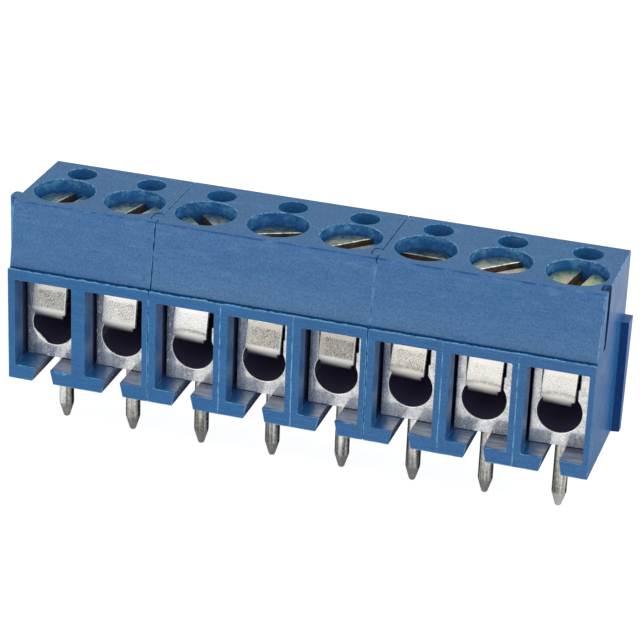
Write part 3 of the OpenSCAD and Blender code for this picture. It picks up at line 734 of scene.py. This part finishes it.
def mark_edges(ob, ridges, first, n):
    """Face attributes: edge on small rounded rims, worn and given a painted highlight; flash_and_glint on the thin
    ragged lips, parting ridges, seams and hole rims, pale burrs with a painted highlight; groove in the sunk line of
    the shelf, for painted shade.
    """
    me = ob.data
    slope = LEAN / (HEIGHT - SHELF)
    count = len(me.polygons)
    nv, c = np.zeros(count * 3), np.zeros(count * 3)
    me.polygons.foreach_get("normal", nv)
    me.polygons.foreach_get("center", c)
    nv, c = nv.reshape(-1, 3), c.reshape(-1, 3)
    flats = np.array([(1, 0, 0), (0, 1, 0), (0, 0, 1), (0, -1 / math.hypot(1, slope), slope / math.hypot(1, slope))])
    edge = (np.abs(nv @ flats.T).max(1) < 0.996).astype(np.float32)
    k = np.clip(np.round((c[:, 0] - LEFT) / PITCH - 0.5), 0, POLES - 1)
    px = LEFT + (k + 0.5) * PITCH
    upright = (np.abs(nv[:, 2]) < 0.02) & (c[:, 2] > LINTEL - 0.3)
    edge[upright & (np.hypot(c[:, 0] - px, c[:, 1]) < WELL_R + 0.02)] = 0
    edge[upright & (np.hypot(c[:, 0] - px, c[:, 1] - PROBE_Y) < PROBE_R + 0.02)] = 0
    front = c[:, 1] + FRONT
    # rims of the wire openings, of the round holes and of the rib, and the tight seam, get less of the worn edge colour
    # with its painted highlight
    edge[(front < 0.06) & (np.abs(c[:, 0] - px - WIN_DX) < WIN_W / 2 + 0.06) & (c[:, 2] > SILL + 0.12) & (c[:, 2] < LINTEL + 0.07)] *= 0.25
    edge[(c[:, 2] > HEIGHT - 0.08) & (np.minimum(np.hypot(c[:, 0] - px, c[:, 1]) - WELL_R, np.hypot(c[:, 0] - px, c[:, 1] - PROBE_Y) - PROBE_R) < 0.09)] = 0
    edge[(front > 0.05) & (np.abs(c[:, 0] - px - WIN_DX) > 1.2) & (c[:, 1] < CHAMBER + 0.1) & (c[:, 2] > SILL - 0.05) & (c[:, 2] < LINTEL + 0.05) & (np.abs(c[:, 0] - px - WIN_DX) < WIN_W / 2 + 0.3)] = 0
    edge[c[:, 0] > LEFT + POLES * PITCH + 0.02] *= 0.2
    edge[(np.abs(nv[:, 0]) > 0.8) & (c[:, 2] < SILL) & (c[:, 2] > 0.04) & (np.abs(c[:, 0] - px) < 0.8) & (front > 0.06)] = 0
    edge[(nv[:, 1] < -0.96) & (front < 0.05) & (c[:, 2] > 7.5) & (c[:, 2] < SHELF - 0.03)] = 0
    edge[(np.abs(c[:, 0] - LEFT - POLES * PITCH + SEAM) < 0.08) & (c[:, 2] < HEIGHT - 0.5)] *= 0.3
    edge[(np.abs(c[:, 0] - 5.0) < 0.09) & (c[:, 2] > SHELF + 0.1)] *= 0.6
    # pale burred lip in front of the shelf, parting ridges and seams: real burrs with a painted highlight
    flash_and_glint = ((c[:, 2] > SHELF - 0.05) & (c[:, 2] < SHELF + 0.3) & (front < 0.135) & (nv[:, 1] > -0.97)).astype(np.float32) * np.where(c[:, 0] > 4, 0.75, 1.0).astype(np.float32)
    for r in ridges:
        flash_and_glint[(np.abs(c[:, 0] - r) < 0.07) & (front < -0.002)] = 0.32
    for i, x in ((first, LEFT + first * PITCH), (POLES - first - n, LEFT + (first + n) * PITCH)):
        if i:
            flash_and_glint[(np.abs(c[:, 0] - x) < 0.12) & (front < 0.03) & (edge > 0)] = 1
    # painted shade in the sunk line of the shelf
    groove = ((c[:, 2] > 7.4) & (c[:, 2] < SHELF + 0.025) & (front > 0.085) & (front < STEP + 0.12) & (np.abs(nv[:, 0]) < 0.9)).astype(np.float32)
    # painted shade in the undercuts of the interlock at both ends
    x0, x1 = LEFT + first * PITCH, LEFT + (first + n) * PITCH
    deep = np.zeros(count, np.float32)
    deep[(c[:, 0] < x1 - SEAM - 0.01) & (c[:, 0] > x1 - LOCK - 0.1) & (c[:, 1] > -2.6) & (c[:, 1] < -0.9) & (c[:, 2] > SHELF) & (c[:, 2] < HEIGHT - 0.01)] = 0.84
    deep[(c[:, 0] > x1 + 0.02) & (c[:, 0] < x1 + LOCK - 0.03) & (nv[:, 1] < -0.5) & (c[:, 1] > 3.0)] = 1
    # painted shade on the slot walls between the sills
    deep[(np.abs(nv[:, 0]) > 0.8) & (c[:, 2] < SILL) & (c[:, 2] > 0.04) & (np.abs(c[:, 0] - px) < 0.8) & (front > 0.06)] = 0.8
    lean_at = front - STEP - slope * (c[:, 2] - SHELF)
    if first + n == POLES:
        flash_and_glint[(c[:, 0] > x1 - SEAM - 0.105) & (lean_at > -0.02) & (lean_at < 0.25) & (c[:, 2] > SHELF + 0.2) & (c[:, 2] < HEIGHT - 0.15) & (nv[:, 1] < -0.2)] = 0.10
    crest = ((c[:, 2] > HEIGHT - 0.12) & (front > STEP + LEAN - 0.06) & (front < STEP + LEAN + 0.12) & (edge > 0)).astype(np.float32)
    rims = np.minimum(np.abs(np.hypot(c[:, 0] - px, c[:, 1]) - WELL_R - 0.035), np.abs(np.hypot(c[:, 0] - px, c[:, 1] - PROBE_Y) - PROBE_R - 0.025))
    # painted highlight on the rims of the round holes
    flash_and_glint[(c[:, 2] > HEIGHT - 0.08) & (c[:, 2] < HEIGHT - 0.001) & (rims < 0.05)] = 0.95
    # the top's back edge gets painted shade instead of the worn edge colour
    rear = (c[:, 2] > HEIGHT - 0.08) & (c[:, 1] > BACK - 0.08) & (edge > 0)
    crest[rear], edge[rear] = 0.9, 0
    walls = (upright & (np.hypot(c[:, 0] - px, c[:, 1]) < WELL_R + 0.02)).astype(np.float32)
    inner = ((np.abs(c[:, 0] - px - WIN_DX) < WIN_W / 2 + 0.27) & (front > 0.06) & (c[:, 1] < CHAMBER + 0.01) & (c[:, 2] > SILL + 0.01) & (c[:, 2] < LINTEL + 0.02)).astype(np.float32)
    for name, v in (("edge", edge), ("flash_and_glint", flash_and_glint), ("groove", groove), ("crest", crest), ("deep", deep), ("well", walls), ("inner", inner)):
        me.attributes.new(name, "FLOAT", "FACE").data.foreach_set("value", v)


RIDGES = {0: [], 2: [-5.0, 0.0], 5: [10.0, 15.0]}
for node, first, n in MODULES:
    x0, x1 = LEFT + first * PITCH, LEFT + (first + n) * PITCH
    ob = housing_base(node + "_shell", first, n, RIDGES[first], 11 + first)
    boolean(ob, [tongue("tongue", x0, 0, 0, 0.05), rib("rib", x1, 0.05)], "UNION")
    cuts = [tongue("groove", x1, GAP, 1, 0, 0.07 if first == 0 else 0.0), rib_groove("rib_groove", x0, GAP)]
    for k in range(first, first + n):
        cuts += [chamber("chamber", pole_x(k)), pocket("pocket", k), floor_slot("slot", pole_x(k)), well("well", pole_x(k), k), probe("probe", pole_x(k))]
    if first == 0:
        scoop = revolve("scoop", [(0.02 + 0.30 * math.sin(math.radians(t)), -0.30 * math.cos(math.radians(t))) for t in range(0, 181, 15)], 40)
        scoop.data.transform(Matrix.Translation((pole_x(0) + 1.13, -FRONT - 0.06, SILL + 0.07)) @ Matrix.Rotation(math.radians(7), 4, "Y") @ Matrix.Diagonal((2.1, 0.8, 0.95, 1)))
        cuts.append(scoop)
    boolean(ob, cuts)
    tidy(ob)
    mark_edges(ob, RIDGES[first], first, n)
    finish_piece(ob, node + "_moulding", PLASTIC, "housing", node, sharp=40)


# ---------------------------------------------------------------- clamp blocks
# how each loosely held leaf stands: turned with its screw, rolled, leaning back, and raised
LEAF_YAW = [5.85, 5.35, 4.2, 1.9, 0.9, 5.75, 2.7, 5.25]
LEAF_ROLL = [2.5, 2.0, 2.6, 3.0, 2.6, 3.2, 2.3, 2.8]
LEAF_LEAN = [4.5, 6.0, 8.0, 4.0, 3.5, 6.0, 7.0, 7.0]
LEAF_UP = [0.05, 0.05, 0.08, -0.05, 0.07, 0.20, 0.17, 0.15]
LEAF_FRONT = GUARD_F + 0.12
LEAF_W = [2.36, 2.36, 2.36, 2.42, 2.42, 2.31, 2.34, 2.27]
LEAF_BACK = [0.043, 0.044, 0.023, 0.045, 0.045, 0.064, 0.047, 0.060]
# and how far each clamp block has turned
BLOCK_TURN = [0, 0, 0, 0, 0, 0, 2.6, 2.6]
HOLE_DX = [-0.03, -0.06, -0.03, -0.06, -0.07, 0.0, -0.05, -0.05]
SLOT_UP = [1.45, 1.45, 1.45, 1.30, 1.37, 1.23, 1.25, 1.15]
SLOT_DOWN = [1.28, 1.28, 1.23, 1.22, 1.23, 1.11, 1.15, 1.04]
LEAF_T = [GUARD_T, GUARD_T, 0.27, 0.26, 0.26, GUARD_T, 0.26, GUARD_T]
LEAF_TURN = [-2.5] * POLES
LEAF_SHIFT = [LEAF_FRONT * (math.sin(math.radians(v)) - math.sin(math.radians(t))) - b for v, t, b in zip(LEAF_YAW, LEAF_TURN, LEAF_BACK)]


def ring_xz(p, y):
    return np.column_stack([p[:, 0], np.full(len(p), y), p[:, 1]])


def clamp_block(k):
    x, hw = pole_x(k), BLOCK_W / 2
    e = 0.07
    rings = []
    for t in (0, 30, 60, 90):
        t = math.radians(t)
        rings.append((-BLOCK_F + e * (1 - math.cos(t)), e * (1 - math.sin(t))))
    for t in (90, 60, 30, 0):
        t = math.radians(t)
        rings.append((BLOCK_B - e * (1 - math.cos(t)), e * (1 - math.sin(t))))
    ob = loft("clamp", [ring_xz(rrect(x - hw + d, x + hw - d, SILL + d, BLOCK_T - d, 0.10, 3), y) for y, d in rings])
    rim = quarter(0.05, 4)
    prof = [(WIRE_R + 0.06, BLOCK_B + 0.3), (WIRE_R + 0.06, BLOCK_B), (WIRE_R, BLOCK_B - 0.06)]
    prof += [(WIRE_R + b, -BLOCK_F + a - 0.001) for a, b in rim] + [(WIRE_R + 0.05, -BLOCK_F - 0.3)]
    hole = revolve("hole", prof, 96, (x + HOLE_DX[k], 0, WIRE_Z), "Y")
    axis = x + BLOCK_F * math.sin(math.radians(BLOCK_TURN[k]))
    bore = revolve("bore", [(BORE_R, WIRE_Z - 0.35), (BORE_R, BLOCK_T - 0.1), (BORE_R + 0.1, BLOCK_T), (BORE_R + 0.1, BLOCK_T + 0.3)], 72, (axis, 0, 0))
    slot = loft("slot", [ring_xz(rrect(x - GUIDE_W / 2 - o, x + SLOT_DOWN[k] + o, WIRE_Z, GUIDE_Z + 0.1, 0.04, 2), y) for y, o in ((-0.02, 0), (-BLOCK_F + 0.05, 0), (-BLOCK_F, 0.05), (-BLOCK_F - 0.3, 0.05))])
    near = max(GUIDE_W / 2, GUARD_W / 2 + LEAF_FRONT * math.sin(math.radians(LEAF_YAW[k])) + 0.01 - (0.09 if k == 7 else 0.0))
    wide = loft("wide", [ring_xz(rrect(x - near - o, x + SLOT_UP[k] + o, GUIDE_Z, BLOCK_T + 0.3, 0.06, 2), y) for y, o in ((-0.9, 0), (-BLOCK_F + 0.05, 0), (-BLOCK_F, 0.05), (-BLOCK_F - 0.3, 0.05))])
    pin = revolve("pin_socket", [(PIN_R - 0.02, SILL - 0.3), (PIN_R - 0.02, SILL + 0.7)], 32, (axis, 0, 0))
    boolean(ob, [hole, bore, slot, wide, pin])
    tidy(ob)
    if k == 0:
        # torn edge that stands across the lower left of the wire hole
        t = np.radians(np.linspace(193, 259, 23))
        arc = np.stack([np.cos(t), np.sin(t)], 1) * (WIRE_R + 0.09)
        u = np.linspace(1, 0, 23)[:, None]
        chord = (arc[0] * (1 - u) + arc[-1] * u) * 0.985 + np.random.default_rng(5).uniform(-0.022, 0.022, (23, 2))
        chord[1] -= (0.02, 0.03)
        tear = np.concatenate([arc, chord[1:-1]]) + [x + HOLE_DX[k], WIRE_Z]
        boolean(ob, [loft("tear", [ring_xz(tear, -BLOCK_F + 0.008), ring_xz(tear, -BLOCK_F + 0.11)])], "UNION")
        tidy(ob)
    inside = [-BLOCK_F + 0.052 < f.center.y < BLOCK_B - 0.1 and abs(f.center.x - x) < GUIDE_TOP / 2 + 0.06 and f.center.z > WIRE_Z - WIRE_R - 0.02 for f in ob.data.polygons]
    dim = [i * (1.0 if f.center.z < WIRE_Z + 0.95 else 0.45) for i, f in zip(inside, ob.data.polygons)]
    ob.data.attributes.new("shade", "FLOAT", "FACE").data.foreach_set("value", np.array(dim, np.float32))
    ring = [float(f.center.y < -BLOCK_F + 0.052 and abs(math.hypot(f.center.x - x - HOLE_DX[k], f.center.z - WIRE_Z) - WIRE_R - 0.025) < 0.03 and f.center.z < WIRE_Z + 0.9) for f in ob.data.polygons]
    ob.data.attributes.new("ring", "FLOAT", "FACE").data.foreach_set("value", np.array(ring, np.float32))
    ob.data.transform(Matrix.Translation((x, -BLOCK_F, 0)) @ Matrix.Rotation(math.radians(BLOCK_TURN[k]), 4, "Z") @ Matrix.Translation((-x, BLOCK_F, 0)))
    return finish_piece(ob, f"clamp_block_{k + 1}_tin", BLOCK, "housing", f"clamp_block_{k + 1}", sharp=42)


# ---------------------------------------------------------------- wire guards
def wire_guard(k):
    x, gz = pole_x(k), GUARD_Z[k] + LEAF_UP[k]
    a, b, e, tall = 0.50, 0.80, 0.05, GUARD_H - 0.14
    # outer surface along the leaf: y, z, outward normal, and how far the edges are drawn in
    path = []
    for t in (0, 30, 60, 90):
        t = math.radians(t)
        path.append((-LEAF_FRONT, tall - e * (1 - math.cos(t)), -1.0, 0.0, e * (1 - math.sin(t))))
    path += [(-LEAF_FRONT, z, -1.0, 0.0, 0.0) for z in np.linspace(tall - 0.2, b + 0.05, 14)]
    notch = math.degrees(math.asin(1 - 0.53 / b))
    for t in sorted(list(np.linspace(0, 90, 31)) + [notch - 0.15, notch + 0.15]):
        t = math.radians(t)
        m = math.hypot(math.cos(t) / a, math.sin(t) / b)
        path.append((-LEAF_FRONT + a - a * math.cos(t), b - b * math.sin(t), -math.cos(t) / a / m, -math.sin(t) / b / m, 0.0))
    path += [(y, 0.0, 0.0, -1.0, 0.0) for y in np.linspace(-LEAF_FRONT + a + 0.3, TAIL - 0.2, 6)]
    for t in (90, 60, 30, 0):
        t = math.radians(t)
        path.append((TAIL - e * (1 - math.cos(t)), 0.0, 0.0, -1.0, e * (1 - math.sin(t))))
    rings, bend, under, rises, left = [], [], [], [], []
    for y, z, ny, nz, d in path:
        half = LEAF_W[k] / 2 - (0.17 if z < 0.53 else 0.0)
        half = min(half, 1.0 - 0.28 * min(1.0, max(0.0, (y + 1.9) / 2.2))) if z < 0.02 else half
        rise = z
        if z > b:
            # bowed upright limb, which leans further back towards its top
            t = math.radians(LEAF_LEAN[k]) * (0.35 + 0.65 * (z - b) / (GUARD_H - b))
            u, v = y + LEAF_FRONT - a, z - b
            y, z = -LEAF_FRONT + a + u * math.cos(t) + v * math.sin(t), b + v * math.cos(t) - u * math.sin(t)
            ny, nz = -math.cos(t), math.sin(t)
        sec = rrect(-half + d, half - d, -LEAF_T[k] + d, -d, 0.05, 3)
        rings.append(np.column_stack([x + sec[:, 0], y + sec[:, 1] * ny, gz + z + sec[:, 1] * nz]))
        bend += [float(np.clip((b + 0.14 - rise) / 0.14, 0, 1))] * len(sec)
        rises += [rise] * len(sec)
        left += list(0.5 - sec[:, 0] / (2 * half))
        # how much painted shade falls on the lower part of the bend
        under += [float(np.clip((0.80 - rise) / 0.70, 0, 1))] * len(sec)
    ob = loft("guard", rings)
    roll = Matrix.Translation((x, 0, gz + 1.2)) @ Matrix.Rotation(math.radians(LEAF_ROLL[k]), 4, "Y") @ Matrix.Translation((-x, 0, -gz - 1.2))
    yaw = Matrix.Translation((x - LEAF_SHIFT[k], 0, 0)) @ Matrix.Rotation(-math.radians(LEAF_TURN[k]), 4, "Z") @ Matrix.Translation((-x, 0, 0))
    ob.data.transform(yaw @ roll)
    for attr, v in (("bend", bend), ("under", under), ("rise", rises), ("left", left)):
        ob.data.attributes.new(attr, "FLOAT", "POINT").data.foreach_set("value", np.array(v, np.float32))
    # faces for a painted highlight on the leaf's side edges
    rim = [float(abs(f.normal.x) > 0.3 and f.normal.y < -0.1) for f in ob.data.polygons]
    ob.data.attributes.new("rim", "FLOAT", "FACE").data.foreach_set("value", np.array(rim, np.float32))
    return finish_piece(ob, f"wire_guard_{k + 1}_leaf", LEAVES[k], f"guard_{k + 1}", f"wire_guard_{k + 1}", sharp=45)


# ---------------------------------------------------------------- screws
def clamp_screw(k):
    x, z0 = pole_x(k), HEIGHT - HEAD_DEPTH[k] - SCREW_L
    seg, pitch, root = 72, 0.5, SHANK_R - 0.28
    a = np.linspace(0, 2 * math.pi, seg, endpoint=False)
    neck = SCREW_L - HEAD_H
    rings = []

    def flat(r, z):
        rings.append(np.column_stack([r * np.cos(a), r * np.sin(a), np.full(seg, z)]))

    flat(SHANK_R - 0.38, 0.0)
    flat(SHANK_R - 0.34, 0.02)
    for z in np.arange(0.06, neck - 0.12, pitch / 9):
        ph = (z / pitch - a / (2 * math.pi)) % 1.0
        crest = np.clip(1.25 - np.abs(ph - 0.5) * 3.2, 0, 1)
        r = root + (SHANK_R - root) * crest
        r = np.minimum(r, SHANK_R - 0.34 + z)
        fade = np.clip((neck - 0.15 - z) / 0.5, 0, 1)
        r = root + (r - root) * fade if z > neck - 0.7 else r
        rings.append(np.column_stack([r * np.cos(a), r * np.sin(a), np.full(seg, z)]))
    flat(root, neck - 0.06)
    flat(root + 0.06, neck)
    flat(HEAD_R - 0.10, neck)
    flat(HEAD_R - 0.03, neck + 0.03)
    flat(HEAD_R, neck + 0.10)
    for c, s in quarter(0.13, 5):
        flat(HEAD_R - s, SCREW_L - 0.025 - c)
    flat(HEAD_R - 0.5, SCREW_L - 0.008)
    flat(HEAD_R - 1.2, SCREW_L)
    ob = loft("screw", rings)
    hw, off = DRIVE_W / 2, DRIVE_OFF[k]
    sec = [(-hw - 0.05, 0.4), (-hw - 0.05, 0.0), (-hw, -0.05), (-hw, -DRIVE_D + 0.06), (-hw + 0.06, -DRIVE_D), (hw - 0.06, -DRIVE_D), (hw, -DRIVE_D + 0.06), (hw, -0.05), (hw + 0.05, 0.0), (hw + 0.05, 0.4)]
    sec = np.array(sec)
    cut = loft("drive", [np.column_stack([np.full(len(sec), u), off + sec[:, 0], SCREW_L + sec[:, 1]]) for u in (-HEAD_R - 0.5, HEAD_R + 0.5)])
    boolean(ob, [cut])
    tidy(ob)
    inside = [float(abs(f.center.y - off) < hw + 0.01 and SCREW_L - DRIVE_D - 0.05 < f.center.z < SCREW_L - 0.04 and math.hypot(f.center.x, f.center.y) < HEAD_R - 0.05) for f in ob.data.polygons]
    ob.data.attributes.new("slot", "FLOAT", "FACE").data.foreach_set("value", np.array(inside, np.float32))
    # painted highlight along the upper edges of the slot, per screw
    lip = [SLOT_EDGE_GLINT[k] * float(abs(abs(f.center.y - off) - hw - 0.025) < 0.02 and f.center.z > SCREW_L - 0.08 and 0.2 < f.normal.z < 0.95) for f in ob.data.polygons]
    ob.data.attributes.new("lip", "FLOAT", "FACE").data.foreach_set("value", np.array(lip, np.float32))
    # the thread, for painted shade deep in the block
    below = [float(f.center.z < neck - 0.02) for f in ob.data.polygons]
    ob.data.attributes.new("thread", "FLOAT", "FACE").data.foreach_set("value", np.array(below, np.float32))
    ob.data.transform(Matrix.Translation((x, 0, z0)) @ Matrix.Rotation(math.radians(DRIVE_DEG[k]), 4, "Z"))
    return finish_piece(ob, f"clamp_screw_{k + 1}_zinc", ZINC, f"screw_{k + 1}", f"clamp_screw_{k + 1}", sharp=40)


# ---------------------------------------------------------------- pins
PIN_BENT = [0.13, 0.02, 0.0, 0.09, 0.02, -0.02, -0.03, -0.02]
PIN_TRIM = [0.10, 0.0, 0.0, 0.04, 0.0, 0.0, -0.07, -0.07]


def solder_pin(k):
    x, ln, tip = pole_x(k), PIN_L + PIN_MORE[k] + PIN_TRIM[k], TIP_R - 0.045
    prof = [(0.05, -ln), (tip - 0.12, -ln + 0.012), (tip - 0.05, -ln + 0.04), (tip, -ln + 0.10)]
    prof += [(tip + (PIN_R - tip) * t, -ln + 0.10 + (TAPER - 0.10) * t) for t in (0.25, 0.5, 0.75, 0.93)]
    prof += [(PIN_R - 0.004, -ln + TAPER + 0.02), (PIN_R, -ln + TAPER + 0.12), (PIN_R, -2.0), (PIN_R, -1.0), (PIN_R, 0.0), (PIN_R - 0.03, 0.7), (PIN_R - 0.03, SILL + 0.6), (PIN_R - 0.08, SILL + 0.65)]
    ob = revolve("pin", prof, 48, (x, 0, 0))
    for v in ob.data.vertices:
        v.co.x += PIN_BENT[k] * min(1.0, max(0.0, (SILL - v.co.z) / 0.85))
    taper = [float(f.center.z < -ln + TAPER - 0.02) for f in ob.data.polygons]
    ob.data.attributes.new("tip", "FLOAT", "FACE").data.foreach_set("value", np.array(taper, np.float32))
    return finish_piece(ob, f"solder_pin_{k + 1}_tin", PIN, "housing", f"solder_pin_{k + 1}", sharp=50)


for k in range(POLES):
    clamp_block(k)
    wire_guard(k)
    clamp_screw(k)
    solder_pin(k)


# ---------------------------------------------------------------- floor, light and camera
scene = bpy.context.scene
bpy.ops.mesh.primitive_plane_add(size=6, location=(0, 0, -0.00452))
floor = bpy.context.object
floor.name = "floor"
fm = bpy.data.materials.new("pale_floor")
fm.use_nodes = True
fb = fm.node_tree.nodes["Principled BSDF"]
fb.inputs["Base Color"].default_value = (0.22, 0.22, 0.22, 1)
fb.inputs["Roughness"].default_value = 0.9
fb.inputs["Emission Color"].default_value = (1, 1, 1, 1)
fb.inputs["Emission Strength"].default_value = 0.90
floor.data.materials.append(fm)
floor.visible_diffuse = floor.visible_glossy = False

world = bpy.data.worlds.new("studio")
scene.world = world
world.use_nodes = True
wt = world.node_tree
bg = wt.nodes["Background"]
tc = wt.nodes.new("ShaderNodeTexCoord")
sep = wt.nodes.new("ShaderNodeSeparateXYZ")
wr = wt.nodes.new("ShaderNodeValToRGB")
wt.links.new(tc.outputs["Generated"], sep.inputs[0])
wt.links.new(sep.outputs["Z"], wr.inputs[0])
up = wt.nodes.new("ShaderNodeMapRange")
up.inputs["From Min"].default_value, up.inputs["From Max"].default_value = -1.0, 1.0
wt.links.new(sep.outputs["Z"], up.inputs["Value"])
wt.links.new(up.outputs[0], wr.inputs[0])
sky = [(0.0, 0.78), (0.15, 0.78), (0.29, 0.80), (0.42, 0.82), (0.52, 0.84), (0.66, 0.82), (1.0, 0.82)]
el = wr.color_ramp.elements
el[0].position, el[0].color = sky[0][0], (sky[0][1],) * 3 + (1,)
el[1].position, el[1].color = sky[-1][0], (sky[-1][1],) * 3 + (1,)
for p, v in sky[1:-1]:
    e = el.new(p)
    e.color = (v, v, v, 1)
# the room is brighter in front of the object than behind it
deep = wt.nodes.new("ShaderNodeMapRange")
deep.inputs["From Min"].default_value, deep.inputs["From Max"].default_value = -1.0, 1.0
deep.inputs["To Min"].default_value, deep.inputs["To Max"].default_value = 1.20, 0.76
wt.links.new(sep.outputs["Y"], deep.inputs["Value"])
wt.links.new(wr.outputs["Color"], bg.inputs["Color"])
wt.links.new(deep.outputs[0], bg.inputs["Strength"])


def area(name, loc, aim, size, radiance, color=(1, 1, 1)):
    d = bpy.data.lights.new(name, "AREA")
    d.shape = "RECTANGLE"
    d.size, d.size_y = size
    d.energy = radiance * math.pi * size[0] * size[1]
    d.color = color
    o = bpy.data.objects.new(name, d)
    scene.collection.objects.link(o)
    o.location = loc
    o.rotation_euler = (Vector(aim) - Vector(loc)).to_track_quat("-Z", "Y").to_euler()
    return o


area("softbox_left", (-0.24, -0.44, 0.20), (0, 0, 0.006), (0.36, 0.34), 1.35)
area("softbox_right", (0.46, -0.04, 0.24), (0, 0, 0.006), (0.34, 0.34), 2.0)

# the shaded parts of the floor under and behind the housing, as the pins and the end reflect them
for name, at, size, tone in (("floor_shade", (0.0, -1.75), (40.0, 4.5), 0.80), ("floor_shade_rear", (0.0, 2.65), (42.0, 4.3), 0.05), ("floor_shade_near", (-0.5, 7.4), (44.0, 5.2), 0.04), ("floor_shade_side", (29.0, 7.4), (15.0, 5.2), 0.50), ("floor_shade_mid", (6.0, 15.0), (56.0, 10.0), 0.40), ("floor_shade_far", (8.0, 25.0), (60.0, 10.0), 0.50)):
    bpy.ops.mesh.primitive_grid_add(x_subdivisions=8, y_subdivisions=2, size=1, location=(at[0] / 1000, at[1] / 1000, -0.00451))
    shade = bpy.context.object
    shade.name, shade.scale = name, (size[0] / 1000, size[1] / 1000, 1)
    sm = bpy.data.materials.new(name)
    sm.use_nodes = True
    sm.node_tree.nodes["Principled BSDF"].inputs["Base Color"].default_value = (tone, tone, tone, 1)
    sm.node_tree.nodes["Principled BSDF"].inputs["Roughness"].default_value = 0.9
    shade.data.materials.append(sm)
    shade.visible_camera = shade.visible_diffuse = shade.visible_shadow = shade.visible_transmission = False

cd = bpy.data.cameras.new("photo_camera")
cam = bpy.data.objects.new("photo_camera", cd)
scene.collection.objects.link(cam)
cd.sensor_fit, cd.sensor_width, cd.lens = "HORIZONTAL", 36.0, 152.45
cd.clip_start, cd.clip_end = 0.01, 20.0
R = Matrix(((0.95328452, 0.299691624, 0.037862306), (0.159984542, -0.394578716, -0.904827377), (-0.256229526, 0.868615316, -0.424091809)))
cam.matrix_world = Matrix.Translation((0.046406514, -0.155263670, 0.081966847)) @ Matrix((R[0], -R[1], -R[2])).transposed().to_4x4()
scene.camera = cam
scene.view_settings.view_transform = "Standard"
scene.view_settings.look = "None"
